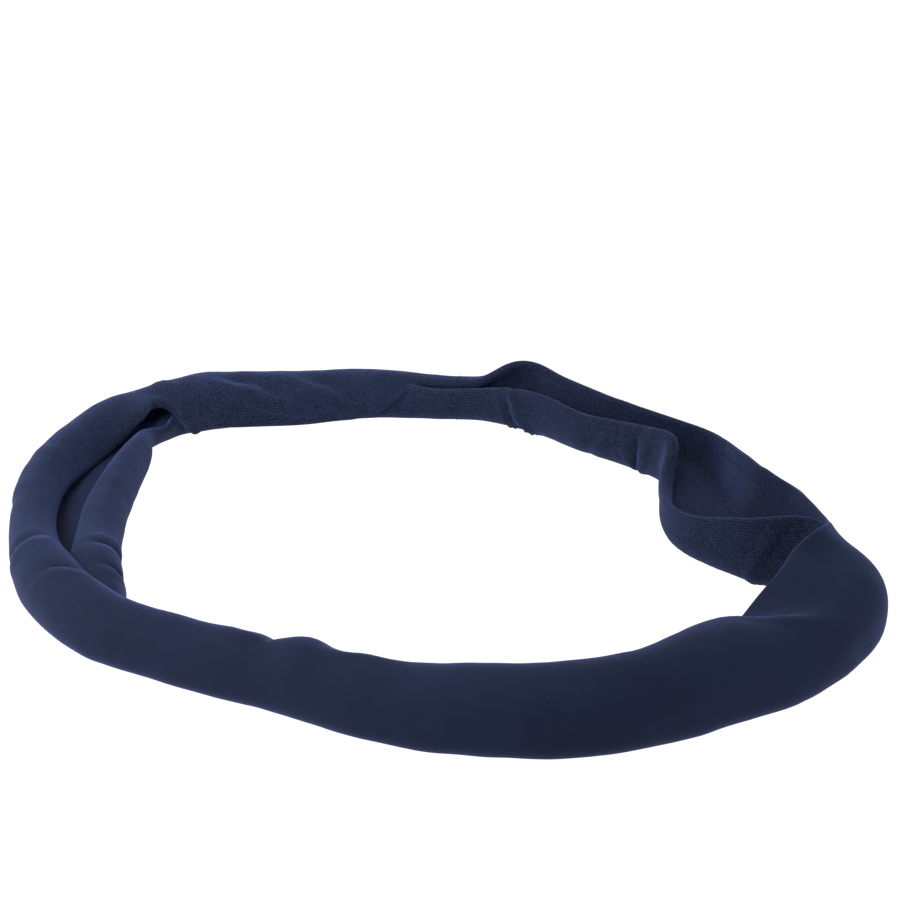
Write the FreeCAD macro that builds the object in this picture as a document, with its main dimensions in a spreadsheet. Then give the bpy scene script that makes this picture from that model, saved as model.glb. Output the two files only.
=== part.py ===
"""Jersey sweat headband: a doubled knit band, folded lengthwise into a soft channel and closed in a loop.

The band lies on a table. Its outer ply (the face) and its inner ply (the lining) are separate panels,
bagged out so that the face rolls over both rims. Four thread runs hold it together: one inside each
rim, and one across each ply where the ends of the band meet.

Frame: millimetres, +Z up, origin on the table under the middle of the loop's box.
"""
import FreeCAD
import Part
import Sketcher
import math
import os

Vector = FreeCAD.Vector

# Driving dimensions of the band, in millimetres.
SIZES = [
    ("across", 22.0, "radial width of the folded band"),
    ("tall", 17.5, "height of the folded band"),
    ("roll", 8.2, "thickness of the doubled band, air included"),
    ("jersey", 1.0, "thickness of one ply"),
    ("fold_radius", 6.5, "outside radius of the two lower folds"),
    ("channel_radius", 2.0, "inside radius at the channel floor"),
    ("thread", 0.7, "diameter of a sewn thread run"),
    ("thread_gap", 0.05, "clearance between a thread run and its ply"),
]

# Plan of the band's middle line, clockwise from above: the corners of a rounded outline,
# each with its place and the radius that rounds it.
PLAN = [
    ("left", -84.5, -20.0, 62.0),
    ("left_back", -84.5, 41.0, 66.0),
    ("back_left", -67.0, 74.0, 27.0),
    ("back", -15.0, 74.5, 200.0),
    ("back_peak", 27.0, 76.4, 34.0),
    ("right_back", 55.0, 43.0, 58.0),
    ("right_bulge", 61.5, 5.0, 50.0),
    ("right_end", 87.3, -23.5, 32.0),
    ("front_right", 79.5, -59.5, 28.0),
    ("front", 24.0, -80.4, 95.0),
    ("front_left", -29.0, -66.0, 140.0),
    ("left_front", -71.0, -48.0, 34.0),
]
JOIN_RUN = ("back", "back_peak")  # the straight run of the plan in which the band's ends are sewn

START, END, CENTRE = 1, 2, 3  # Sketcher's names for the points of an edge


def make_sheet(doc):
    """Spreadsheet with one aliased cell for each driving dimension."""
    sheet = doc.addObject("Spreadsheet::Sheet", "sizes")
    cells = [(name, value) for name, value, _ in SIZES]
    for name, x, y, radius in PLAN:
        cells += [(name + "_x", x), (name + "_y", y), (name + "_radius", radius)]
    for row, (name, value) in enumerate(cells, start=1):
        sheet.set("A%d" % row, name)
        sheet.set("B%d" % row, str(value))
        sheet.setAlias("B%d" % row, name)
    doc.recompute()
    return sheet


def bind(sketch, constraint, expression):
    """Drives one dimension of a sketch from the sheet."""
    sketch.setExpression("Constraints[%d]" % constraint, expression)


def plan_corners(sheet):
    """Places and radii of the plan's corners, read from the sheet."""
    corners = []
    for name, _, _, _ in PLAN:
        place = Vector(sheet.get(name + "_x"), sheet.get(name + "_y"), 0)
        corners.append((place, sheet.get(name + "_radius")))
    return corners


def rounded_corner(before, corner, after, radius):
    """First and last points of the arc that rounds a corner, and the arc's centre."""
    back = (before - corner).normalize()
    ahead = (after - corner).normalize()
    half_turn = (math.pi - back.getAngle(ahead)) / 2
    first = corner + back * (radius * math.tan(half_turn))
    last = corner + ahead * (radius * math.tan(half_turn))
    centre = corner + (back + ahead).normalize() * (radius / math.cos(half_turn))
    return first, last, centre


def arc_between(first, last, centre):
    """Circular arc of less than half a turn, counted anticlockwise, and whether that reverses it."""
    reverse = (first - centre).cross(last - centre).z < 0
    if reverse:
        first, last = last, first
    circle = Part.Circle(centre, Vector(0, 0, 1), (first - centre).Length)
    return Part.ArcOfCircle(circle, circle.parameter(first), circle.parameter(last)), reverse


def make_plan(doc, sheet):
    """Closed middle line of the band: straight runs joined by tangent arcs, one for each corner."""
    sketch = doc.addObject("Sketcher::SketchObject", "loop_plan")
    corners = plan_corners(sheet)
    count = len(corners)
    rounded = []
    for i, (corner, radius) in enumerate(corners):
        before = corners[i - 1][0]
        after = corners[(i + 1) % count][0]
        rounded.append(rounded_corner(before, corner, after, radius))
    runs = []
    for i in range(count):
        runs.append(sketch.addGeometry(Part.LineSegment(rounded[i - 1][1], rounded[i][0]), False))
    for i, (corner, _) in enumerate(corners):
        name = PLAN[i][0]
        arc, reverse = arc_between(*rounded[i])
        edge = sketch.addGeometry(arc, False)
        into, out = (END, START) if reverse else (START, END)
        following = runs[(i + 1) % count]
        sketch.addConstraint(Sketcher.Constraint("Tangent", runs[i], END, edge, into))
        sketch.addConstraint(Sketcher.Constraint("Tangent", edge, out, following, START))
        size = sketch.addConstraint(Sketcher.Constraint("Radius", edge, corners[i][1]))
        bind(sketch, size, "sizes.%s_radius" % name)
        mark = sketch.addGeometry(Part.Point(corner), True)
        sketch.addConstraint(Sketcher.Constraint("PointOnObject", mark, START, runs[i]))
        sketch.addConstraint(Sketcher.Constraint("PointOnObject", mark, START, following))
        for axis, value in (("X", corner.x), ("Y", corner.y)):
            place = Sketcher.Constraint("Distance" + axis, -1, START, mark, START, value)
            bind(sketch, sketch.addConstraint(place), "sizes.%s_%s" % (name, axis.lower()))
    return sketch


def upright_sketch(doc, name):
    """Sketch on the XZ plane, which cuts the band squarely at the middle of its left run."""
    sketch = doc.addObject("Sketcher::SketchObject", name)
    sketch.Placement = FreeCAD.Placement(Vector(0, 0, 0), FreeCAD.Rotation(Vector(1, 0, 0), 90))
    return sketch


def add_arc(sketch, value, formula, start, end):
    """Arc from start to end degrees, with its centre and radius driven from the sheet."""
    circle = Part.Circle(Vector(value["x"], value["y"], 0), Vector(0, 0, 1), value["radius"])
    edge = sketch.addGeometry(Part.ArcOfCircle(circle, math.radians(start), math.radians(end)), False)
    for axis in ("x", "y"):
        kind = "Distance" + axis.upper()
        place = Sketcher.Constraint(kind, -1, START, edge, CENTRE, value[axis])
        bind(sketch, sketch.addConstraint(place), formula[axis])
    size = sketch.addConstraint(Sketcher.Constraint("Radius", edge, value["radius"]))
    bind(sketch, size, formula["radius"])
    return edge


def add_line(sketch, one, one_end, other, other_end, kind="Tangent"):
    """Straight edge between the ends of two others, running smoothly into both unless told otherwise."""
    first = sketch.getPoint(one, one_end)
    last = sketch.getPoint(other, other_end)
    edge = sketch.addGeometry(Part.LineSegment(first, last), False)
    sketch.addConstraint(Sketcher.Constraint(kind, one, one_end, edge, START))
    sketch.addConstraint(Sketcher.Constraint(kind, edge, END, other, other_end))
    return edge


def add_wall(sketch, fold, fold_end, top, formula):
    """Upright edge from the end of a fold to a driven height."""
    foot = sketch.getPoint(fold, fold_end)
    edge = sketch.addGeometry(Part.LineSegment(foot, Vector(foot.x, top, 0)), False)
    sketch.addConstraint(Sketcher.Constraint("Tangent", fold, fold_end, edge, START))
    sketch.addConstraint(Sketcher.Constraint("Vertical", edge))
    height = Sketcher.Constraint("DistanceY", -1, START, edge, END, top)
    bind(sketch, sketch.addConstraint(height), formula)
    return edge


def face_skin(sketch, sheet, inset, inset_formula):
    """One skin of the face: over one rim, down, across the table and up over the other rim.

    Returns the arcs over the two rims, whose channel ends are still open.
    """
    rims, folds = [], []
    for side, sign in ((-1, "-"), (1, "+")):
        for size, size_formula, arcs in (
            (sheet.roll / 2, "sizes.roll / 2", rims),
            (sheet.fold_radius, "sizes.fold_radius", folds),
        ):
            over_rim = arcs is rims
            value = {
                "x": sheet.left_x + side * (sheet.across / 2 - size),
                "y": sheet.tall - size if over_rim else size,
                "radius": size - inset,
            }
            formula = {
                "x": "sizes.left_x %s (sizes.across / 2 - %s)" % (sign, size_formula),
                "y": ("sizes.tall - " if over_rim else "") + size_formula,
                "radius": size_formula + inset_formula,
            }
            start = 0 if over_rim else 225 + 45 * side
            end = 180 if over_rim else start + 90
            arcs.append(add_arc(sketch, value, formula, start, end))
    add_line(sketch, rims[0], END, folds[0], START)
    add_line(sketch, folds[0], END, folds[1], START)
    add_line(sketch, folds[1], END, rims[1], START)
    for rim, open_end in zip(rims, (START, END)):
        sketch.addConstraint(Sketcher.Constraint("Horizontal", rim, CENTRE, rim, open_end))
    return rims


def face_section(doc, sheet):
    """Closed section of the face: its outer skin, its hidden skin and the two cut edges."""
    sketch = upright_sketch(doc, "face_section")
    outer = face_skin(sketch, sheet, 0, "")
    hidden = face_skin(sketch, sheet, sheet.jersey, " - sizes.jersey")
    for i, open_end in enumerate((START, END)):
        add_line(sketch, outer[i], open_end, hidden[i], open_end, "Coincident")
    return sketch


def lining_section(doc, sheet):
    """Closed section of the lining: a narrow U that stands in the face and lines the channel."""
    sketch = upright_sketch(doc, "lining_section")
    top = sheet.tall - sheet.roll / 2
    walls = []
    for inset, inset_formula in ((0, ""), (sheet.jersey, " + sizes.jersey")):
        folds = []
        for side, sign in ((-1, "-"), (1, "+")):
            reach = sheet.across / 2 - sheet.roll - sheet.channel_radius
            value = {
                "x": sheet.left_x + side * reach,
                "y": sheet.roll + sheet.channel_radius,
                "radius": sheet.channel_radius + inset,
            }
            reach_formula = "(sizes.across / 2 - sizes.roll - sizes.channel_radius)"
            formula = {
                "x": "sizes.left_x %s %s" % (sign, reach_formula),
                "y": "sizes.roll + sizes.channel_radius",
                "radius": "sizes.channel_radius" + inset_formula,
            }
            start = 225 + 45 * side
            folds.append(add_arc(sketch, value, formula, start, start + 90))
        add_line(sketch, folds[0], END, folds[1], START)
        for fold, fold_end in zip(folds, (START, END)):
            walls.append(add_wall(sketch, fold, fold_end, top, "sizes.tall - sizes.roll / 2"))
    for i in (0, 1):
        add_line(sketch, walls[i], END, walls[i + 2], END, "Coincident")
    return sketch


def thread_section(doc, sheet, name, side, sign):
    """Round section of a rim seam, against the hidden side of the lining where the two plies meet."""
    sketch = upright_sketch(doc, name)
    reach = sheet.across / 2 - sheet.roll + sheet.jersey + sheet.thread_gap + sheet.thread / 2
    reach_formula = (
        "(sizes.across / 2 - sizes.roll + sizes.jersey + sizes.thread_gap + sizes.thread / 2)"
    )
    centre = Vector(sheet.left_x + side * reach, sheet.tall - sheet.roll / 2, 0)
    edge = sketch.addGeometry(Part.Circle(centre, Vector(0, 0, 1), sheet.thread / 2), False)
    for kind, value, formula in (
        ("DistanceX", centre.x, "sizes.left_x %s %s" % (sign, reach_formula)),
        ("DistanceY", centre.y, "sizes.tall - sizes.roll / 2"),
    ):
        place = Sketcher.Constraint(kind, -1, START, edge, CENTRE, value)
        bind(sketch, sketch.addConstraint(place), formula)
    size = sketch.addConstraint(Sketcher.Constraint("Diameter", edge, sheet.thread))
    bind(sketch, size, "sizes.thread")
    return sketch


def join_frame(sheet):
    """Middle of the run where the band's ends are sewn, and the turn that sets X across it, Y up."""
    ends = [Vector(sheet.get(name + "_x"), sheet.get(name + "_y"), 0) for name in JOIN_RUN]
    along = (ends[1] - ends[0]).normalize()
    up = Vector(0, 0, 1)
    across = up.cross(along)
    return (ends[0] + ends[1]) / 2, FreeCAD.Rotation(across, up, across.cross(up), "XYZ")


def join_path(doc, sheet, name, reach, fold, top):
    """Open U across the band, along which a ply's ends are sewn.

    reach, fold and top are pairs of a value and its formula: how far out the fold's centre lies,
    the radius and height of the fold, and the height at which the seam stops.
    """
    middle, turn = join_frame(sheet)
    sketch = doc.addObject("Sketcher::SketchObject", name)
    sketch.Placement = FreeCAD.Placement(middle, turn)
    folds = []
    for side, sign in ((-1, "-"), (1, "")):
        value = {"x": side * reach[0], "y": fold["y"][0], "radius": fold["radius"][0]}
        formula = {
            "x": "%s(%s)" % (sign, reach[1]),
            "y": fold["y"][1],
            "radius": fold["radius"][1],
        }
        start = 225 + 45 * side
        folds.append(add_arc(sketch, value, formula, start, start + 90))
    add_line(sketch, folds[0], END, folds[1], START)
    for arc, arc_end in zip(folds, (START, END)):
        add_wall(sketch, arc, arc_end, *top)
    return sketch


def face_join_path(doc, sheet):
    """Path of the join seam on the hidden side of the face, rim to rim."""
    inset = sheet.jersey + sheet.thread_gap + sheet.thread / 2
    inset_formula = "(sizes.jersey + sizes.thread_gap + sizes.thread / 2)"
    fold = {
        "y": (sheet.fold_radius, "sizes.fold_radius"),
        "radius": (sheet.fold_radius - inset, "sizes.fold_radius - " + inset_formula),
    }
    reach = (sheet.across / 2 - sheet.fold_radius, "sizes.across / 2 - sizes.fold_radius")
    top = (sheet.tall - sheet.roll / 2, "sizes.tall - sizes.roll / 2")
    return join_path(doc, sheet, "face_join_path", reach, fold, top)


def lining_join_path(doc, sheet):
    """Path of the join seam on the hidden side of the lining, which stops short of the rim seams."""
    inset = sheet.jersey + sheet.thread_gap + sheet.thread / 2
    inset_formula = "(sizes.jersey + sizes.thread_gap + sizes.thread / 2)"
    fold = {
        "y": (sheet.roll + sheet.channel_radius, "sizes.roll + sizes.channel_radius"),
        "radius": (sheet.channel_radius + inset, "sizes.channel_radius + " + inset_formula),
    }
    reach = (
        sheet.across / 2 - sheet.roll - sheet.channel_radius,
        "sizes.across / 2 - sizes.roll - sizes.channel_radius",
    )
    top = (
        sheet.tall - sheet.roll / 2 - 2 * sheet.thread,
        "sizes.tall - sizes.roll / 2 - 2 * sizes.thread",
    )
    return join_path(doc, sheet, "lining_join_path", reach, fold, top)


def round_section(doc, sheet, path):
    """Level round section of a thread run, at the upright start of its path."""
    start = path.Shape.Wires[0].OrderedVertexes[0].Point
    sketch = doc.addObject("Sketcher::SketchObject", path.Name + "_section")
    sketch.Placement = FreeCAD.Placement(start, FreeCAD.Rotation())
    edge = sketch.addGeometry(Part.Circle(Vector(0, 0, 0), Vector(0, 0, 1), sheet.thread / 2), False)
    sketch.addConstraint(Sketcher.Constraint("Coincident", edge, CENTRE, -1, START))
    size = sketch.addConstraint(Sketcher.Constraint("Diameter", edge, sheet.thread))
    bind(sketch, size, "sizes.thread")
    return sketch


def sweep(doc, label, section, path):
    """Solid of one section carried along a path: one real piece, which its label names."""
    piece = doc.addObject("Part::Sweep", label)
    piece.Label = label
    piece.Sections = [section]
    piece.Spine = (path, ["Edge%d" % (i + 1) for i in range(len(path.Shape.Edges))])
    piece.Solid = True
    piece.Frenet = False
    return piece


def check(doc, pieces):
    """Stops the build if any object failed or any piece isn't one valid solid."""
    for item in doc.Objects:
        if "Invalid" in item.State or "Error" in item.State:
            raise RuntimeError("%s is %s" % (item.Name, item.State))
    for piece in pieces:
        shape = piece.Shape
        if shape.isNull() or not shape.isValid() or len(shape.Solids) != 1:
            raise RuntimeError(piece.Label + " isn't one valid solid")


def main():
    doc = FreeCAD.newDocument("sweat_headband")
    sheet = make_sheet(doc)
    plan = make_plan(doc, sheet)
    sections = {
        "face_panel": face_section(doc, sheet),
        "lining_panel": lining_section(doc, sheet),
        "outer_rim_seam": thread_section(doc, sheet, "outer_rim_thread", -1, "-"),
        "inner_rim_seam": thread_section(doc, sheet, "inner_rim_thread", 1, "+"),
    }
    joins = {
        "face_join_seam": face_join_path(doc, sheet),
        "lining_join_seam": lining_join_path(doc, sheet),
    }
    doc.recompute()
    pieces = [sweep(doc, label, section, plan) for label, section in sections.items()]
    for label, path in joins.items():
        section = round_section(doc, sheet, path)
        pieces.append(sweep(doc, label, section, path))
    doc.recompute()
    check(doc, pieces)
    os.makedirs("parts", exist_ok=True)
    for piece in pieces:
        piece.Shape.exportStep("parts/%s.step" % piece.Label)
        size = piece.Shape.optimalBoundingBox(False, False)
        print("%-18s %9.1f mm3  x %.2f..%.2f  y %.2f..%.2f  z %.2f..%.2f" % (
            piece.Label, piece.Shape.Volume, size.XMin, size.XMax,
            size.YMin, size.YMax, size.ZMin, size.ZMax,
        ))


main()
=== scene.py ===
"""A soft sports headband of doubled jersey, dropped on a table in a loose loop.

The band is a ring of cloth folded double. Lying free, its two long rims roll
and flop over the channel between them. The shape is set by stations round the
loop: each says where the band touches the table and how far each wall curls.
"""
import functools
import math
from collections import namedtuple

import bmesh
import bpy
import numpy as np
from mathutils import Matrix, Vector, noise


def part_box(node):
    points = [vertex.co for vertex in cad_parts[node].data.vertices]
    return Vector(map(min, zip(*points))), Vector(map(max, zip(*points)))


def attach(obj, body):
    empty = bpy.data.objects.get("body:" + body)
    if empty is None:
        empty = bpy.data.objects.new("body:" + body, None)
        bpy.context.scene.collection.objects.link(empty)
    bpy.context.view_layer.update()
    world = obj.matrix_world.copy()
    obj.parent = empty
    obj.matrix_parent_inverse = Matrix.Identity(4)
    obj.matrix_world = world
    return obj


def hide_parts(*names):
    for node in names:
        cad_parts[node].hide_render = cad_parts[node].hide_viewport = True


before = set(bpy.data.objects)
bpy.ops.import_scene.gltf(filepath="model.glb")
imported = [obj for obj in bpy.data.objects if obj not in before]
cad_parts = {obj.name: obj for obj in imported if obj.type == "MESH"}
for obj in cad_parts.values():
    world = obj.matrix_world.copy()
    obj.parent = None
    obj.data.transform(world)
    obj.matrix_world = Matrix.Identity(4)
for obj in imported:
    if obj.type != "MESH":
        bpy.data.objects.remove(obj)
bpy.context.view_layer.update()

bl_info = {
    "name": "Jersey headband",
    "version": (1, 0, 0),
    "blender": (4, 5, 0),
    "location": "View3D > Sidebar > Headband",
    "description": "Makes a soft jersey headband lying in a loose loop, with its seams and a plain studio",
    "category": "Add Mesh",
}

MM = 0.001

# ---------------------------------------------------------------- shape of the band

# Where the band touches the table (x, y), the width of the flat it rests on (floor), and its two walls. Each
# wall has a length (outer, inner), a straight start and end (rise, drop), a lean away from the band's middle
# and a curl back over the channel, both in degrees, and a thickness (puff). Lengths are millimetres, and the
# list runs clockwise seen from above.
Station = namedtuple("Station", [
    "name", "x", "y", "floor",
    "outer", "rise", "drop", "lean", "curl",
    "inner", "inner_lean", "inner_curl",
    "puff", "inner_puff",
])
STATIONS = [
    Station("left", -82.9, 0.0, 13.4, 12.4, 2.6, 1.0, -5, 162, 8.6, -5, 135, 3.9, 4.2),
    Station("left_high", -84.0, 20.4, 15.6, 14.8, 3.0, 3.2, -6, 154, 7.6, -8, 100, 3.8, 3.9),
    Station("left_back", -81.2, 40.8, 12.9, 16.4, 3.2, 5.8, -6, 152, 5.6, -8, 75, 3.4, 3.2),
    Station("corner_side", -77.4, 57.2, 5.8, 16.3, 2.6, 6.0, -6, 114, 1.0, -8, 50, 3.0, 2.4),
    Station("corner_edge", -70.8, 64.6, 3.3, 14.4, 2.7, 4.6, -3, 112, 0.5, -15, 30, 2.6, 2.2),
    Station("corner_back", -66.6, 67.2, 1.8, 24.2, 2.6, 6.0, 0, 158, 0.8, 35, 10, 2.4, 2.4),
    Station("corner_flap", -60.4, 69.6, 2, 26.2, 3.2, 5, 0, 172, 2.4, 65, 10, 2.2, 2.8),
    Station("flap_start", -52.0, 72.0, 2, 24.2, 2.4, 5, 0, 172, 3, 70, 10, 2.6, 2.4),
    Station("flap", -32.0, 75.0, 2, 21.8, 1.8, 5, 0, 170, 3, 70, 10, 2.8, 2.4),
    Station("flap_end", -15.0, 78.0, 2, 18.0, 1, 3, 0, 168, 4, 50, 10, 2.4, 2.6),
    Station("back", -3.0, 77.8, 2, 8.4, 1, 1, 0, 112, 3.2, 0, 20, 2.4, 2.4),
    Station("back_low", 11.0, 76.2, 2, 7.6, 1, 1, 0, 90, 3.6, 0, 20, 2.4, 2.4),
    Station("peak", 20.5, 73.2, 3, 9.6, 1, 1, -5, 25, 5.2, 0, 10, 2.0, 2.2),
    Station("peak_side", 29.0, 67.0, 3, 8, 1, 1, -8, 20, 6, 0, 10, 2.0, 2.2),
    Station("right_back", 39.0, 57.5, 3, 7, 1, 1, -8, 15, 5, 0, 15, 2.0, 2.4),
    Station("tuck", 51.6, 47.0, 3, 6.3, 1, 1, -10, 15, 6.5, 0, 15, 2.0, 2.6),
    Station("bowl_start", 60.6, 36.4, 4, 7.0, 1, 1, -15, 10, 7.5, 0, 20, 2.0, 3.2),
    Station("bowl_high", 61.6, 21.0, 8, 10.4, 1, 1, -18, 10, 1.6, 0, 20, 2.0, 3.0),
    Station("bowl_low", 62.8, 8.2, 12, 11.2, 1, 1, -18, 5, 3.6, 5, 5, 2.0, 2.2),
    Station("bowl_end", 73.0, -5.0, 10.5, 10.5, 2, 2, -15, 10, 9.2, 4, 5, 2.0, 2.0),
    Station("end_rim", 83.0, -17.0, 3, 12.5, 3, 5, 0, 25, 12.2, 22, 5, 1.8, 2.0),
    Station("end", 86.0, -31.5, 10, 25.8, 3, 12, 0, 72, 8, 0, 20, 1.8, 3.0),
    Station("end_front", 79.0, -47.5, 7, 25.5, 3, 12.5, 0, 85, 7, 5, 20, 1.8, 2.6),
    Station("end_turn", 70.0, -56.5, 6, 27.5, 2, 9, 0, 121, 4.5, 15, 10, 2.0, 2.8),
    Station("front_right", 59.5, -62.5, 5, 27.5, 4, 4, 0, 142, 3.0, 30, 10, 3.2, 3.0),
    Station("front_wide", 39.0, -72.5, 4, 24.7, 4, 2, 0, 165, 2.0, 40, 10, 3.8, 3.0),
    Station("front", 15.0, -75.5, 4, 23.5, 4, 2, 0, 165, 2.0, 40, 10, 3.8, 3.0),
    Station("front_turn", -8.0, -70.8, 3.5, 20.5, 3, 2, 0, 165, 1.4, 40, 10, 3.8, 3.0),
    Station("notch", -30.0, -59.8, 3, 18.0, 2.5, 2, 0, 165, 0.8, 45, 10, 3.6, 2.6),
    Station("front_left", -50.0, -51.0, 3, 16.8, 2.5, 2, 0, 160, 0.8, 45, 10, 3.8, 2.6),
    Station("left_front", -67.3, -40.8, 4, 16.8, 2, 2, 0, 155, 3.0, 15, 50, 4.2, 3.6),
    Station("left_low", -78.0, -22.8, 10.5, 16.0, 2.6, 1, -5, 152, 9.5, -5, 120, 4.2, 4.8),
]
SHAPE = Station._fields[1:]
FOLD = 5.5           # length of the bend between the flat and each wall
FLOOR_PUFF = 4.0     # thickness of the doubled cloth where it rests
TABLE_GAP = 0.05     # gap left between the cloth and the table
BEND_SOFTNESS = 0.5  # how gently a bend begins and ends
SIDE_SOFTNESS = 2.0  # how much more gently the thickness of the flat gives way to a wall's
SWELLS = ((0.35, 14, 3), (0.12, 5, 11))  # height, size and noise seed of each slow swell in the cloth
STEPS_ROUND = 504    # rows of points round the loop
STEPS_ACROSS = 72    # points across each row, from rim to rim
STEPS_RIM = 6        # points round each rim, between the two plies
RAW_STEPS = 80       # samples of each half section before they are spaced out evenly
TANGENT_REACH = 8    # rows on each side that set the band's direction at a row
CREASE_WANDER = ((0.25, 0.6, 2.0), (0.08, 1.7, 0.0))  # how far a crease wanders, how fast, and its start
CREASE_FLARE = 0.5   # how much wider a crease is at its ends, as a share of its width
CREASE_WAIST = 0.9   # how wide a crease is at its middle, in the same way

# A crease is a soft ridge (height over 0) or furrow in the doubled cloth. Its middle lies so far onward from
# a station round the loop, and so far down from one rim. It turns by degrees from the band's own direction.
Crease = namedtuple("Crease", "station onward rim down length width height turn")
CREASES = [
    Crease("left", -14.5, "outer", 9, 10, 1.2, -0.8, 96),
    Crease("left", -17.2, "outer", 9, 10, 1.8, 0.4, 96),
    Crease("left_low", -6.0, "outer", 7, 8, 1.3, -0.45, 60),
    Crease("left_low", -8.5, "outer", 7, 8, 1.6, 0.3, 60),
    Crease("left", 9.0, "outer", 10, 10, 2.5, -0.3, 80),
    Crease("left", -16.5, "inner", 6, 7, 1.0, -0.9, 75),
    Crease("left", -13.5, "inner", 6, 7, 1.3, 0.4, 75),
    Crease("left_low", -4.5, "inner", 7, 10, 1.2, -0.7, 100),
    Crease("left_low", -7.0, "inner", 7, 9, 1.5, 0.35, 100),
    Crease("left_high", 9.0, "outer", 9, 9, 2.6, 0.25, 70),
    Crease("corner_back", -0.5, "outer", 5, 12, 1.5, 1.1, 108),
    Crease("corner_back", 3.5, "outer", 6.5, 13, 1.9, -0.8, 104),
    Crease("flap_start", 5.0, "outer", 6.0, 24, 1.4, 2.2, -16),
    Crease("flap_start", 6.0, "outer", 9.0, 18, 1.8, -0.5, -16),
    Crease("flap_start", 4.0, "outer", 2.8, 16, 2.0, -0.25, -18),
    Crease("flap", 2.0, "outer", 5.2, 16, 1.3, 2.2, -26),
    Crease("flap", 3.0, "outer", 8.2, 14, 1.8, -0.5, -26),
    Crease("flap", 1.0, "outer", 2.8, 12, 1.8, -0.25, -26),
    Crease("peak", -1.0, "inner", 4.5, 15, 0.7, 0.8, 62),
    Crease("peak", 1.5, "inner", 5, 12, 1.2, -0.5, 60),
    Crease("peak", 5.0, "inner", 5, 15, 0.9, 1.2, 58),
    Crease("right_back", 4.5, "inner", 5, 11, 1.3, -0.4, 115),
    Crease("right_back", 8.5, "inner", 4, 9, 1.0, 0.4, 125),
    Crease("tuck", -1.0, "inner", 6, 11, 0.7, 0.7, 76),
    Crease("tuck", 1.8, "inner", 7, 14, 1.0, -1.1, 95),
    Crease("tuck", 4.5, "inner", 7, 12, 0.8, 0.7, 110),
    Crease("bowl_end", 5.0, "inner", 8, 16, 1.1, 0.8, 104),
    Crease("front_right", -10.0, "outer", 11.0, 25, 1.7, 0.7, -27),
    Crease("front_right", -11.0, "outer", 8.2, 20, 1.6, -0.35, -27),
    Crease("front_turn", 9.0, "outer", 8, 17, 1.2, 0.7, 6),
    Crease("notch", -5.0, "outer", 7, 14, 4.0, 1.3, 90),
    Crease("notch", 3.0, "outer", 6, 9, 2.6, -0.9, 80),
    Crease("notch", 7.5, "outer", 8, 11, 1.5, 0.6, -12),
]


def soft_step(distance):
    """From 0 before a bend to 1 after it, smoothly."""
    return 1 / (1 + np.exp(-np.clip(distance / BEND_SOFTNESS, -40, 40)))


def between_stations():
    """Even distances round the loop, the stations' own distances, and each station value at the even ones.

    A cubic joins the stations. Its slope at each is taken from the slopes on both sides."""
    points = np.array([station[1:] for station in STATIONS], float)
    gaps = np.linalg.norm(np.roll(points[:, :2], -1, 0) - points[:, :2], axis=1)
    marks = np.concatenate([[0], np.cumsum(gaps)])
    around = marks[-1]
    where = np.linspace(0, around, STEPS_ROUND, endpoint=False)
    times = np.concatenate([marks[:-1] - around, marks[:-1], marks[:-1] + around, [2 * around]])
    values = np.concatenate([points, points, points, points[:1]])
    step = np.diff(times)[:, None]
    slope = np.diff(values, axis=0) / step
    bend = np.zeros_like(values)
    bend[1:-1] = (slope[:-1] * step[1:] + slope[1:] * step[:-1]) / (step[1:] + step[:-1])
    i = np.clip(np.searchsorted(times, where, side="right") - 1, 0, len(times) - 2)
    h = step[i]
    s = (where - times[i])[:, None] / h
    joined = ((2 * s**3 - 3 * s**2 + 1) * values[i] + (s**3 - 2 * s**2 + s) * h * bend[i]
              + (3 * s**2 - 2 * s**3) * values[i + 1] + (s**3 - s**2) * h * bend[i + 1])
    return where, marks, dict(zip(SHAPE, joined.T))


def wall(half_floor, length, lean, curl, rise, drop):
    """One half of every section, from the middle of the flat to the rim: distance out, height, run."""
    total = (half_floor + FOLD + length)[:, None]
    run = np.linspace(0, 1, RAW_STEPS)[None, :] * total
    flat = half_floor[:, None]
    start = flat + FOLD + rise[:, None]
    end = total - drop[:, None]
    in_fold = soft_step(run - flat) - soft_step(run - flat - FOLD)
    in_wall = soft_step(run - start) - soft_step(run - end)
    fold_bend = np.radians(90 + lean)[:, None] / FOLD * in_fold
    wall_bend = np.radians(curl)[:, None] / np.maximum(end - start, 1) * in_wall
    spacing = total / (RAW_STEPS - 1)

    def summed(rate):
        steps = np.cumsum((rate[:, 1:] + rate[:, :-1]) / 2 * spacing, axis=1)
        return np.concatenate([np.zeros((len(total), 1)), steps], 1)

    angle = summed(fold_bend + wall_bend)
    return summed(np.cos(angle)), summed(np.sin(angle)) + FLOOR_PUFF / 2, run


def even(values, at, steps):
    """Rows of values, given at rows of distances, spaced out evenly."""
    spaced = np.linspace(0, 1, steps)
    return np.stack([np.interp(spaced * a[-1], a, v) for v, a in zip(values, at)])


def crease_heights(where, marks, down_outer, down_inner):
    """How far the creases move the cloth. Each wanders a little off its line and widens towards its ends."""
    height = np.zeros_like(down_outer)
    around = marks[-1]
    names = [s.name for s in STATIONS]
    for c in CREASES:
        along = where[:, None] - marks[names.index(c.station)] - c.onward
        along = (along + around / 2) % around - around / 2
        down = (down_outer if c.rim == "outer" else down_inner) - c.down
        turn = math.radians(c.turn)
        lengthwise = along * math.cos(turn) + down * math.sin(turn)
        sideways = down * math.cos(turn) - along * math.sin(turn)
        for size, rate, start in CREASE_WANDER:
            sideways += size * np.sin(rate * lengthwise + start * c.down)
        fade = np.exp(-np.abs(2 * lengthwise / c.length) ** 3)
        width = c.width * (CREASE_WAIST + CREASE_FLARE * (1 - fade))
        height += c.height * fade * np.exp(-(sideways / width) ** 2)
    return height


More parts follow.
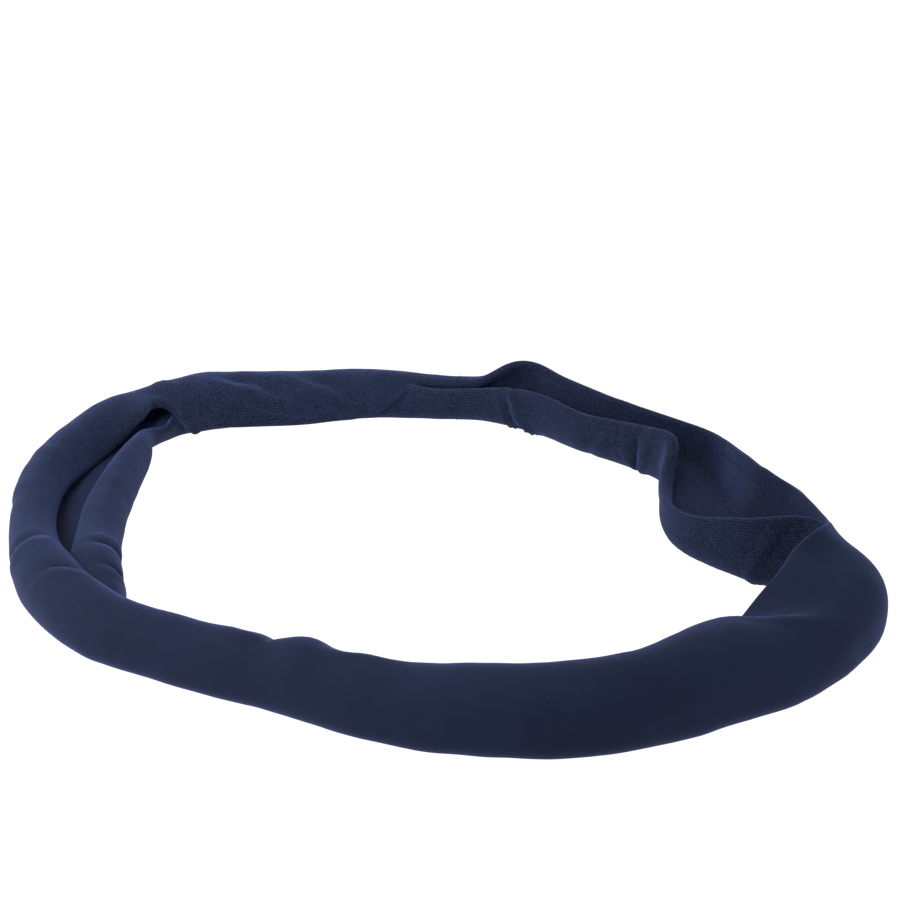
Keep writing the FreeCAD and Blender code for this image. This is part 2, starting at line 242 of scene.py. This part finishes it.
def normals_of(grid):
    """Unit normals of a grid that closes round the loop, on the side away from the channel."""
    along = np.roll(grid, -1, 0) - np.roll(grid, 1, 0)
    across = np.gradient(grid, axis=1)
    normal = np.cross(along, across)
    return normal / np.maximum(np.linalg.norm(normal, axis=2, keepdims=True), 1e-9)


def ripple(points, size, seed):
    """Slow uneven swell of soft cloth, from -1 to 1."""
    shift = Vector((seed, 0, 0))
    heights = [noise.noise(Vector(point / size) + shift) for point in points.reshape(-1, 3)]
    return np.array(heights).reshape(points.shape[:2])


@functools.cache
def middle_surface():
    """The surface halfway between the two plies, in millimetres.

    Gives its points, normals and half thickness, and the distances round the loop and from the outer rim."""
    where, marks, v = between_stations()
    centre = np.stack([v["x"], v["y"]], 1)
    tangent = sum(np.roll(centre, -k, 0) - np.roll(centre, k, 0) for k in range(1, TANGENT_REACH + 1))
    tangent /= np.linalg.norm(tangent, axis=1)[:, None]
    outward = np.stack([-tangent[:, 1], tangent[:, 0]], 1)
    half_floor = v["floor"] / 2
    no_drop = np.zeros(len(where))
    out_s, out_z, out_run = wall(half_floor, v["outer"], v["lean"], v["curl"], v["rise"], v["drop"])
    in_rise = v["rise"] / 3
    in_s, in_z, in_run = wall(half_floor, v["inner"], v["inner_lean"], v["inner_curl"], in_rise, no_drop)
    s = np.concatenate([out_s[:, ::-1], -in_s[:, 1:]], 1)
    z = np.concatenate([out_z[:, ::-1], in_z[:, 1:]], 1)
    run = np.concatenate([out_run[:, -1:] - out_run[:, ::-1], out_run[:, -1:] + in_run[:, 1:]], 1)
    width = run[:, -1:]
    s, z = even(s, run, STEPS_ACROSS), even(z, run, STEPS_ACROSS)
    down_outer = np.linspace(0, 1, STEPS_ACROSS)[None, :] * width
    down_inner = width - down_outer
    grid = np.stack([centre[:, :1] + outward[:, :1] * s, centre[:, 1:] + outward[:, 1:] * s, z], -1)
    reach = half_floor[:, None] + FOLD / 2
    floor_share = soft_step((down_outer - out_run[:, -1:] + reach) / SIDE_SOFTNESS)
    floor_share *= soft_step((down_inner - in_run[:, -1:] + reach) / SIDE_SOFTNESS)
    in_outer_half = down_outer < out_run[:, -1:]
    puff = np.where(in_outer_half, v["puff"][:, None], v["inner_puff"][:, None])
    half = (puff * (1 - floor_share) + FLOOR_PUFF * floor_share) / 2
    normal = normals_of(grid)
    uneven = sum(height * ripple(grid, size, seed) for height, size, seed in SWELLS)
    grid = grid + normal * (crease_heights(where, marks, down_outer, down_inner) + uneven)[..., None]
    grid[..., 2] = np.maximum(grid[..., 2], half + TABLE_GAP)
    return grid, normals_of(grid), half, where, down_outer


# ---------------------------------------------------------------- the two plies

# A ply's visible side: points round the loop and across, the way each faces, and the cloth distances of both.
Strip = namedtuple("Strip", "points facing along across")
# Columns of a ply that sink where it is sewn, and how much of the seam depth each sinks by.
SEWN_COLUMNS = ((0, 1.0), (-1, 1.0), (1, 0.3), (-2, 0.3))


def section_strips(sizes):
    """The strip of each ply, in metres.

    The outer ply rolls over both rims and ends in the rim seams, a little way down the channel."""
    grid, normal, half, along, down = middle_surface()
    half = half[..., None]
    outside, inside = grid + normal * half, grid - normal * half

    def rim(edge, onward):
        """A half round that joins the plies at a rim, from the outer ply to the lining."""
        tip = grid[:, edge] - grid[:, onward]
        tip /= np.linalg.norm(tip, axis=1, keepdims=True)
        turns = np.linspace(0, math.pi, STEPS_RIM + 2)[1:-1]
        facing = [math.cos(t) * normal[:, edge] + math.sin(t) * tip for t in turns]
        ring = [grid[:, edge] + half[:, edge] * direction for direction in facing]
        return np.stack(ring, 1), np.stack(facing, 1)

    outer_rim, outer_facing = rim(0, 1)
    inner_rim, inner_facing = rim(-1, -2)
    spacing = down[:, -1].mean() / (STEPS_ACROSS - 1)
    hem = max(2, round(sizes.rim_hem / MM / spacing))

    def face(inner_side, outer_rim, outer_side, inner_rim):
        """The outer ply's columns: up inside the outer rim, round the outside, down inside the inner rim."""
        start, end = inner_side[:, hem::-1], inner_side[:, :-hem - 2:-1]
        return np.concatenate([start, outer_rim[:, ::-1], outer_side, inner_rim, end], 1)

    face_points = face(inside, outer_rim, outside, inner_rim)
    face_normals = face(-normal, outer_facing, normal, inner_facing)
    lining_points, lining_normals = inside[:, hem:-hem][:, ::-1], -normal[:, hem:-hem][:, ::-1]
    strips = {}
    for name, points, facing in (("face", face_points, face_normals),
                                 ("lining", lining_points, lining_normals)):
        points = points.copy()
        for column, share in SEWN_COLUMNS:
            points[:, column] -= facing[:, column] * sizes.seam_depth / MM * share
        steps = np.linalg.norm(np.diff(points, axis=1), axis=2)
        across = np.concatenate([np.zeros((len(points), 1)), np.cumsum(steps, axis=1)], 1)
        across -= across[:, -1:] / 2
        strips[name] = Strip(points * MM, facing, along * MM, across * MM)
    return strips


# ---------------------------------------------------------------- meshes


def make_object(name, vertices, faces, uvs=None):
    """A smooth mesh object in the scene, with cloth distances in metres as its UV map where it has them.

    It takes the place of an older object of that name."""
    old = bpy.data.objects.get(name)
    if old is not None:
        bpy.data.objects.remove(old, do_unlink=True)
    mesh = bpy.data.meshes.new(name)
    mesh.from_pydata(vertices.tolist(), [], faces)
    mesh.polygons.foreach_set("use_smooth", np.ones(len(faces), bool))
    if uvs is not None:
        layer = mesh.uv_layers.new(name="Cloth")
        layer.data.foreach_set("uv", uvs.astype(np.float32).ravel())
    mesh.update()
    piece = bpy.data.objects.new(name, mesh)
    bpy.context.scene.collection.objects.link(piece)
    return piece


def cloth_shell(name, strip, thickness):
    """A closed ring of cloth, so thick, behind the strip's visible side."""
    points, facing, along, across = strip
    rows, columns = points.shape[:2]
    back = points - facing * thickness
    vertices = np.concatenate([points.reshape(-1, 3), back.reshape(-1, 3)])
    behind = rows * columns
    i, j = np.meshgrid(np.arange(rows), np.arange(columns - 1), indexing="ij")
    a = i * columns + j
    b = (i + 1) % rows * columns + j
    front_faces = np.stack([a, b, b + 1, a + 1], -1).reshape(-1, 4)
    row = np.arange(rows)
    first, second = row * columns, (row + 1) % rows * columns
    last, last_on = first + columns - 1, second + columns - 1
    edge_a = np.stack([second, first, first + behind, second + behind], -1)
    edge_b = np.stack([last, last_on, last_on + behind, last + behind], -1)
    faces = np.concatenate([front_faces, front_faces[:, ::-1] + behind, edge_a, edge_b])
    around = along[-1] + (along[-1] - along[-2])
    vertex_u = np.tile(np.repeat(along, columns), 2)
    vertex_v = np.tile(across.ravel(), 2)
    u = vertex_u[faces]
    u = np.where(u.max(1, keepdims=True) - u > around / 2, u + around, u)
    piece = make_object(name, vertices, faces.tolist(), np.stack([u, vertex_v[faces]], -1))
    smooth = np.ones(len(faces), bool)
    smooth[2 * len(front_faces):] = False
    piece.data.polygons.foreach_set("use_smooth", smooth)
    return piece


def face_outward(piece):
    """Turns every face to the outside of its closed piece."""
    work = bmesh.new()
    work.from_mesh(piece.data)
    bmesh.ops.recalc_face_normals(work, faces=work.faces)
    work.to_mesh(piece.data)
    work.free()


def stitch_row(name, line, facing, sizes, closed):
    """A row of separate stitches, each a short thread that dips into the cloth at both ends."""
    line, facing = np.asarray(line), np.asarray(facing)
    if closed:
        line, facing = np.concatenate([line, line[:1]]), np.concatenate([facing, facing[:1]])
    gone = np.concatenate([[0], np.cumsum(np.linalg.norm(np.diff(line, axis=0), axis=1))])
    count = max(1, int(gone[-1] / sizes.stitch_pitch))
    rings, sides = 7, 6
    rise, sunk = 0.9, 0.45  # how far a stitch bows up, in thread widths, and the share of that in the cloth
    share = np.linspace(0, 1, rings)
    round_angles = np.arange(sides) / sides * 2 * math.pi
    starts = np.arange(count) * gone[-1] / count
    at = starts[:, None] + share[None, :] * sizes.stitch_length

    def sample(values):
        return np.stack([np.interp(at, gone, values[:, k]) for k in range(3)], -1)

    up = sample(facing)
    up /= np.linalg.norm(up, axis=-1, keepdims=True)
    bow = np.sin(math.pi * share)[None, :, None]
    centre = sample(line) + up * (bow - sunk) * sizes.thread_width * rise
    ahead = np.gradient(centre, axis=1)
    ahead /= np.linalg.norm(ahead, axis=-1, keepdims=True)
    side = np.cross(ahead, up)
    side /= np.linalg.norm(side, axis=-1, keepdims=True)
    radius = sizes.thread_width / 2 * np.sqrt(np.clip(1 - (2 * share - 1) ** 6, 0.1, 1))[None, :, None]
    tube = np.stack([centre + radius * (math.cos(t) * up + math.sin(t) * side) for t in round_angles], 2)
    vertices = tube.reshape(-1, 3)
    k, r, c = np.meshgrid(np.arange(count), np.arange(rings - 1), np.arange(sides), indexing="ij")
    base = k * rings * sides
    a = base + r * sides + c
    b = base + r * sides + (c + 1) % sides
    quads = np.stack([a, b, b + sides, a + sides], -1).reshape(-1, 4).tolist()
    first = np.arange(count)[:, None] * rings * sides + np.arange(sides)[None, :]
    caps = first[:, ::-1].tolist() + (first + (rings - 1) * sides).tolist()
    piece = make_object(name, vertices, quads + caps)
    face_outward(piece)
    return piece


# ---------------------------------------------------------------- materials


def linear(hex_colour):
    """A linear colour from an sRGB hex value."""
    channels = [int(hex_colour.lstrip("#")[k:k + 2], 16) / 255 for k in (0, 2, 4)]
    return [c / 12.92 if c <= 0.04045 else ((c + 0.055) / 1.055) ** 2.4 for c in channels] + [1.0]


def add_node(tree, kind, inputs=None, **settings):
    """A node with its settings. An input is given a value, or a socket that it is linked to."""
    made = tree.nodes.new(kind)
    for key, value in settings.items():
        setattr(made, key, value)
    for key, value in (inputs or {}).items():
        if isinstance(value, bpy.types.NodeSocket):
            tree.links.new(value, made.inputs[key])
        else:
            made.inputs[key].default_value = value
    return made


def new_material(name):
    """An empty node material and its tree."""
    old = bpy.data.materials.get(name)
    if old is not None:
        bpy.data.materials.remove(old)
    material = bpy.data.materials.new(name)
    material.use_nodes = True
    material.node_tree.nodes.clear()
    return material, material.node_tree


# Where the nap changes along the band, in metres from its first station: from, to, nap before and nap after.
NAP_CHANGES = (
    (0.0, 0.07, 0.4, 1.0),    # it rises along the left
    (0.27, 0.295, 1.0, 0.1),  # it is rubbed off at the right end, before the front
    (0.46, 0.515, 0.0, 0.3),  # it comes back at the front's left end
)
TUFT = 0.4 * MM     # width of a tuft of brushed fibre
WANDER = 11.1 * MM  # distance over which the knit's columns wander to one side and back
CLOUD = 22.2 * MM   # width of a paler or darker cloud in the dye
DARKER_SOCKET, LIGHTER_SOCKET, MIXED_SOCKET = 6, 7, 2  # the colour inputs and the colour output of a Mix node
FULL_TURN = 2 * math.pi


def jersey_material(name, colours, sizes, light, dark):
    """Cotton single jersey, piece-dyed navy and brushed by wear.

    The eye gets fine ribs of V stitches along the band, a bloom of loose fibre where the cloth turns
    away, and a slightly cloudy dye. The nap stands up round the back and is rubbed smooth in front.
    The fibre is drawn as tufts, because single fibres are too fine to show. Tufts and the knit's crowns
    get painted highlight in the colour, and the knit's hollows get painted shade."""
    material, tree = new_material(name)
    add = functools.partial(add_node, tree)
    place = add("ShaderNodeTexCoord").outputs["Object"]
    cloth = add("ShaderNodeSeparateXYZ", {"Vector": add("ShaderNodeUVMap", uv_map="Cloth").outputs["UV"]})
    along, across = cloth.outputs["X"], cloth.outputs["Y"]
    drift = add("ShaderNodeTexNoise", {"Vector": place, "Scale": 1 / WANDER, "Detail": 2.0}).outputs["Fac"]
    fibre = add("ShaderNodeTexNoise", {
        "Vector": place, "Scale": 1 / TUFT, "Detail": 3.0, "Roughness": 0.7}).outputs["Fac"]
    cloud = add("ShaderNodeTexNoise", {
        "Vector": place, "Scale": 1 / CLOUD, "Detail": 5.0, "Roughness": 0.6}).outputs["Fac"]

    # The knit: columns that wander a little, each crowned, and crossed by the slant of its stitches.
    wales, courses = 1 / sizes.wale_spacing, FULL_TURN / sizes.course_spacing
    leaning = 1.4 * FULL_TURN
    sway = add("ShaderNodeMath", {0: drift, 1: 1.2, 2: -0.1}, operation="MULTIPLY_ADD").outputs[0]
    column = add("ShaderNodeMath", {0: across, 1: wales, 2: sway}, operation="MULTIPLY_ADD").outputs[0]
    aside = add("ShaderNodeMath", {0: column, 1: 0.5}, operation="PINGPONG").outputs[0]
    course = add("ShaderNodeMath", {0: along, 1: courses}, operation="MULTIPLY").outputs[0]
    slant = add("ShaderNodeMath", {0: aside, 1: leaning, 2: course}, operation="MULTIPLY_ADD").outputs[0]
    stitch = add("ShaderNodeMath", {0: slant}, operation="SINE").outputs[0]
    squared = add("ShaderNodeMath", {0: aside, 1: aside}, operation="MULTIPLY").outputs[0]
    crown = add("ShaderNodeMath", {0: squared, 1: -2.0, 2: 0.5}, operation="MULTIPLY_ADD").outputs[0]
    knit = add("ShaderNodeMath", {0: stitch, 1: 0.25, 2: crown}, operation="MULTIPLY_ADD").outputs[0]

    rise, rub, regrow = [
        add("ShaderNodeMapRange", {
            "Value": along, "From Min": start, "From Max": end, "To Min": before, "To Max": after},
            interpolation_type="SMOOTHSTEP").outputs["Result"]
        for start, end, before, after in NAP_CHANGES]
    brushed = add("ShaderNodeMath", {0: rise, 1: rub}, operation="MULTIPLY").outputs[0]
    nap = add("ShaderNodeMath", {0: brushed, 1: regrow}, operation="ADD").outputs[0]

    tufts = add("ShaderNodeMath", {0: fibre, 1: 2.4}, operation="MULTIPLY").outputs[0]
    height = add("ShaderNodeMath", {0: knit, 1: 0.6, 2: tufts}, operation="MULTIPLY_ADD").outputs[0]
    raised = add("ShaderNodeMath", {0: height, 1: nap}, operation="MULTIPLY").outputs[0]
    bump = add("ShaderNodeBump", {"Strength": 0.65, "Distance": sizes.knit_depth, "Height": raised})

    # The colour is painted lighter on tufts and crowns, a painted highlight, and darker in the hollows,
    # a painted shade; the dye itself is a little cloudy all over. The constant on the knit puts the
    # middle of this painted highlight and shade at 0.
    painted_knit_shade = add("ShaderNodeMath", {0: knit, 1: 1.1, 2: -2.863}, operation="MULTIPLY_ADD").outputs[0]
    painted_light_on_knit = add("ShaderNodeMath", {0: fibre, 1: 5.0, 2: painted_knit_shade}, operation="MULTIPLY_ADD").outputs[0]
    clouded = add("ShaderNodeMath", {0: cloud, 1: 0.6}, operation="MULTIPLY").outputs[0]
    lit = add("ShaderNodeMath", {0: painted_light_on_knit, 1: nap, 2: clouded}, operation="MULTIPLY_ADD").outputs[0]
    mix = add("ShaderNodeMapRange", {"Value": lit, "From Min": -0.3, "From Max": 1.0}).outputs["Result"]
    dye_and_painted_light = add("ShaderNodeMix", {0: mix, DARKER_SOCKET: linear(dark), LIGHTER_SOCKET: linear(light)}, data_type="RGBA")
    rough = add("ShaderNodeMapRange", {"Value": fibre, "To Min": 0.78, "To Max": 0.95}).outputs["Result"]
    shader = add("ShaderNodeBsdfPrincipled", {
        "Base Color": dye_and_painted_light.outputs[MIXED_SOCKET], "Roughness": rough, "Normal": bump.outputs["Normal"],
        "IOR": 1.5, "Specular IOR Level": 0.1,
        "Sheen Weight": colours.sheen, "Sheen Roughness": 0.38, "Sheen Tint": linear(colours.sheen_colour)})
    add("ShaderNodeOutputMaterial", {"Surface": shader.outputs[0]})
    return material


def thread_material(colours, sizes):
    """Spun polyester sewing thread: two plies twisted, so the eye gets fine slanting highlights."""
    material, tree = new_material("Spun polyester thread")
    place = add_node(tree, "ShaderNodeTexCoord").outputs["Object"]
    twist = add_node(tree, "ShaderNodeTexWave", {
        "Vector": place, "Scale": 1 / sizes.thread_width / 6, "Distortion": 2.0},
        bands_direction="DIAGONAL").outputs["Fac"]
    tone = add_node(tree, "ShaderNodeValToRGB", {"Fac": twist})
    tone.color_ramp.elements[0].color = linear(colours.thread_dark)
    tone.color_ramp.elements[1].color = linear(colours.thread_light)
    bump = add_node(tree, "ShaderNodeBump", {
        "Strength": 0.5, "Distance": sizes.thread_width / 8, "Height": twist})
    shader = add_node(tree, "ShaderNodeBsdfPrincipled", {
        "Base Color": tone.outputs["Color"], "Roughness": 0.8, "Normal": bump.outputs["Normal"],
        "IOR": 1.5, "Specular IOR Level": 0.1})
    add_node(tree, "ShaderNodeOutputMaterial", {"Surface": shader.outputs[0]})
    return material


# ---------------------------------------------------------------- what a user can change


class HeadbandSizes(bpy.types.PropertyGroup):
    """Cloth and sewing sizes."""
    ply: bpy.props.FloatProperty(
        name="Ply", description="Thickness of one ply of jersey",
        default=0.8 * MM, min=0.1 * MM, unit="LENGTH")
    rim_hem: bpy.props.FloatProperty(
        name="Rim turn", description="How far the outer ply comes down inside each rim",
        default=2.5 * MM, min=1 * MM, unit="LENGTH")
    seam_depth: bpy.props.FloatProperty(
        name="Seam depth", description="How deep the cloth sinks where the plies are sewn",
        default=0.05 * MM, min=0.0, unit="LENGTH")
    wale_spacing: bpy.props.FloatProperty(
        name="Wale spacing", description="Width of one column of stitches in the knit",
        default=0.7 * MM, min=0.1 * MM, unit="LENGTH")
    course_spacing: bpy.props.FloatProperty(
        name="Course spacing", description="Length of one stitch in the knit",
        default=0.55 * MM, min=0.1 * MM, unit="LENGTH")
    knit_depth: bpy.props.FloatProperty(
        name="Knit depth", description="Height of the knit's stitches",
        default=0.16 * MM, min=0.0, unit="LENGTH")
    thread_width: bpy.props.FloatProperty(
        name="Thread width", description="Thickness of the sewing thread",
        default=0.18 * MM, min=0.05 * MM, unit="LENGTH")
    stitch_length: bpy.props.FloatProperty(
        name="Stitch", description="Length of each visible stitch",
        default=2.0 * MM, min=0.5 * MM, unit="LENGTH")
    stitch_pitch: bpy.props.FloatProperty(
        name="Stitch pitch", description="Distance from one stitch to the next",
        default=2.5 * MM, min=0.6 * MM, unit="LENGTH")


class HeadbandColours(bpy.types.PropertyGroup):
    """Dye and thread colours with painted highlight and painted shade, as sRGB hex values."""
    # The lighter jersey colour is the navy dye with painted highlight on tufts and crowns; the darker one is
    # painted shade in the knit's hollows.
    jersey_dye_and_highlight: bpy.props.StringProperty(
        name="Jersey", description="Dye on the crowns of the knit", default="#1E2842")
    jersey_hollow_shade: bpy.props.StringProperty(
        name="Jersey hollow", description="Dye between the ribs of the knit", default="#05080F")
    # The lining's pair is the same navy cloth painted lighter than the outer ply's, a painted lift against
    # the shade in the channel, with the same painted highlight and shade in the knit.
    lining_lifted_dye_and_highlight: bpy.props.StringProperty(
        name="Lining", description="Dye on the crowns of the lining's knit", default="#20283F")
    lining_lifted_hollow_shade: bpy.props.StringProperty(
        name="Lining hollow", description="Dye between the ribs of the lining", default="#090D18")
    sheen: bpy.props.FloatProperty(
        name="Bloom", description="Strength of the light that loose fibres catch",
        default=0.22, min=0.0, max=1.0, subtype="FACTOR")
    sheen_colour: bpy.props.StringProperty(
        name="Bloom colour", description="Tint of the light that loose fibres catch", default="#8298F4")
    thread_light: bpy.props.StringProperty(
        name="Thread", description="Lit side of the sewing thread", default="#1B2340")
    thread_dark: bpy.props.StringProperty(
        name="Thread shade", description="Hollow of the sewing thread's twist", default="#10162A")


class HeadbandStudio(bpy.types.PropertyGroup):
    """Camera and light."""
    camera_distance: bpy.props.FloatProperty(
        name="Camera distance", description="Along the table from the camera to the middle of the band",
        default=0.395, unit="LENGTH")
    camera_height: bpy.props.FloatProperty(
        name="Camera height", description="Above the table", default=0.2182, unit="LENGTH")
    camera_side: bpy.props.FloatProperty(
        name="Camera side", description="To the right of the band's middle", default=0.0035, unit="LENGTH")
    camera_dip: bpy.props.FloatProperty(
        name="Camera dip", description="Angle below the horizon",
        default=math.radians(25.77), subtype="ANGLE")
    lens: bpy.props.FloatProperty(
        name="Lens", description="Focal length in millimetres", default=79.4, min=1.0, unit="CAMERA")
    top_light: bpy.props.FloatProperty(
        name="Top light", description="Power of the soft light overhead",
        default=1.0, min=0.0, unit="POWER")
    side_light: bpy.props.FloatProperty(
        name="Side light", description="Power of the soft light at the left",
        default=2.1, min=0.0, unit="POWER")
    back_light: bpy.props.FloatProperty(
        name="Back light", description="Power of the narrow light aimed at the band's back",
        default=0.05, min=0.0, unit="POWER")
    table_glow: bpy.props.FloatProperty(
        name="Table glow", description="Brightness of the white table", default=1.1, min=0.0)


# ---------------------------------------------------------------- one operator for each piece or group


def fit_cloth(piece, node):
    """Everything the frame needs to know about a ply."""
    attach(piece, "root")
    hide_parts(node)


class HEADBAND_OT_face(bpy.types.Operator):
    """Make the outer ply, which rolls over both rims"""
    bl_idname = "headband.face"
    bl_label = "Outer jersey"

    def execute(self, context):
        sizes, colours = context.scene.headband_sizes, context.scene.headband_colours
        strip = section_strips(sizes)["face"]
        piece = cloth_shell("Outer_jersey", strip, sizes.ply)
        face_outward(piece)
        piece.data.materials.append(jersey_material(
            "Brushed cotton jersey, navy", colours, sizes, colours.jersey_dye_and_highlight, colours.jersey_hollow_shade))
        fit_cloth(piece, "face_panel")
        return {"FINISHED"}


class HEADBAND_OT_lining(bpy.types.Operator):
    """Make the ply that lines the channel"""
    bl_idname = "headband.lining"
    bl_label = "Lining jersey"

    def execute(self, context):
        sizes, colours = context.scene.headband_sizes, context.scene.headband_colours
        strip = section_strips(sizes)["lining"]
        piece = cloth_shell("Lining_jersey", strip, sizes.ply)
        face_outward(piece)
        # The lining is the outer ply's cloth with colours painted lighter against the shade in the channel.
        piece.data.materials.append(jersey_material(
            "Cotton jersey lining, navy", colours, sizes, colours.lining_lifted_dye_and_highlight, colours.lining_lifted_hollow_shade))
        fit_cloth(piece, "lining_panel")
        return {"FINISHED"}


def sew(name, node, line, facing, context, closed):
    """A row of stitches that stands for one of the frame's seams."""
    sizes, colours = context.scene.headband_sizes, context.scene.headband_colours
    piece = stitch_row(name, line, facing, sizes, closed)
    material = bpy.data.materials.get("Spun polyester thread") or thread_material(colours, sizes)
    piece.data.materials.append(material)
    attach(piece, "root")
    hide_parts(node)


class HEADBAND_OT_rim_seams(bpy.types.Operator):
    """Sew the lining to the outer ply along both rims"""
    bl_idname = "headband.rim_seams"
    bl_label = "Rim seams"

    def execute(self, context):
        face = section_strips(context.scene.headband_sizes)["face"]
        sew("Outer_rim_stitches", "outer_rim_seam", face.points[:, 0], face.facing[:, 0], context, True)
        sew("Inner_rim_stitches", "inner_rim_seam", face.points[:, -1], face.facing[:, -1], context, True)
        return {"FINISHED"}


class HEADBAND_OT_join_seams(bpy.types.Operator):
    """Sew the ends of each ply together, across the band at its back"""
    bl_idname = "headband.join_seams"
    bl_label = "Join seams"

    def execute(self, context):
        strips = section_strips(context.scene.headband_sizes)
        low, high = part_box("face_join_seam")
        middle = (low + high) / 2
        for name, node, ply in (("Face_join_stitches", "face_join_seam", "face"),
                                ("Lining_join_stitches", "lining_join_seam", "lining")):
            strip = strips[ply]
            centre = strip.points[:, strip.points.shape[1] // 2]
            row = int(np.argmin(np.hypot(centre[:, 0] - middle.x, centre[:, 1] - middle.y)))
            sew(name, node, strip.points[row], strip.facing[row], context, False)
        return {"FINISHED"}


TABLE_REACH = 3.0  # from the middle of the table to each edge, in metres
# Each light's name, power setting, size, place, target, and spread in degrees. Lengths are metres.
LIGHTS = (
    ("Overhead softbox", "top_light", 0.35, (-0.1, -0.1, 0.5), (0, 0.05, 0), 180),
    ("Back spotlight", "back_light", 0.12, (-0.11, -0.35, 0.3), (-0.035, 0.078, 0), 20),
    ("Side softbox", "side_light", 0.3, (-0.55, 0.0, 0.16), (-0.06, 0.0, 0), 180),
)


class HEADBAND_OT_stage(bpy.types.Operator):
    """Make the white table, the soft lights and the camera"""
    bl_idname = "headband.stage"
    bl_label = "Studio"

    def execute(self, context):
        scene, studio = context.scene, context.scene.headband_studio
        corners = np.array([[-1, -1, 0], [1, -1, 0], [1, 1, 0], [-1, 1, 0]]) * TABLE_REACH
        table = make_object("Table", corners, [[0, 1, 2, 3]])
        material, tree = new_material("White light table")
        glow = add_node(tree, "ShaderNodeEmission", {
            "Strength": studio.table_glow, "Color": linear("#FFFFFF")})
        add_node(tree, "ShaderNodeOutputMaterial", {"Surface": glow.outputs[0]})
        table.data.materials.append(material)

        world = bpy.data.worlds.new("White studio")
        world.use_nodes = True
        background = world.node_tree.nodes["Background"]
        background.inputs["Color"].default_value = linear("#FFFFFF")
        background.inputs["Strength"].default_value = 1.0
        scene.world = world
        scene.view_settings.view_transform = "Standard"

        for name, power, size, place, target, spread in LIGHTS:
            light = bpy.data.lights.new(name, "AREA")
            light.energy, light.size, light.spread = getattr(studio, power), size, math.radians(spread)
            lamp = bpy.data.objects.new(name, light)
            lamp.location = place
            lamp.rotation_euler = (Vector(target) - Vector(place)).to_track_quat("-Z", "Y").to_euler()
            scene.collection.objects.link(lamp)

        camera = bpy.data.objects.new("Camera", bpy.data.cameras.new("Camera"))
        camera.data.lens, camera.data.sensor_width = studio.lens, 36.0
        camera.data.clip_start = 0.01
        camera.location = (studio.camera_side, -studio.camera_distance, studio.camera_height)
        camera.rotation_euler = (math.pi / 2 - studio.camera_dip, 0, 0)
        scene.collection.objects.link(camera)
        scene.camera = camera
        return {"FINISHED"}


class HEADBAND_PT_panel(bpy.types.Panel):
    """The headband's pieces, sizes and colours"""
    bl_label = "Headband"
    bl_idname = "HEADBAND_PT_panel"
    bl_space_type = "VIEW_3D"
    bl_region_type = "UI"
    bl_category = "Headband"

    def draw(self, context):
        for operator in OPERATORS:
            self.layout.operator(operator.bl_idname)
        for group in ("headband_sizes", "headband_colours", "headband_studio"):
            values = getattr(context.scene, group)
            column = self.layout.column(align=True)
            for key in values.bl_rna.properties.keys():
                if key not in ("rna_type", "name"):
                    column.prop(values, key)


OPERATORS = (
    HEADBAND_OT_face,
    HEADBAND_OT_lining,
    HEADBAND_OT_rim_seams,
    HEADBAND_OT_join_seams,
    HEADBAND_OT_stage,
)
CLASSES = (HeadbandSizes, HeadbandColours, HeadbandStudio, *OPERATORS, HEADBAND_PT_panel)


def register():
    for kind in CLASSES:
        bpy.utils.register_class(kind)
    bpy.types.Scene.headband_sizes = bpy.props.PointerProperty(type=HeadbandSizes)
    bpy.types.Scene.headband_colours = bpy.props.PointerProperty(type=HeadbandColours)
    bpy.types.Scene.headband_studio = bpy.props.PointerProperty(type=HeadbandStudio)


def unregister():
    del bpy.types.Scene.headband_studio
    del bpy.types.Scene.headband_colours
    del bpy.types.Scene.headband_sizes
    for kind in reversed(CLASSES):
        bpy.utils.unregister_class(kind)


def main():
    register()
    bpy.ops.headband.face()
    bpy.ops.headband.lining()
    bpy.ops.headband.rim_seams()
    bpy.ops.headband.join_seams()
    bpy.ops.headband.stage()


if __name__ == "__main__":
    main()
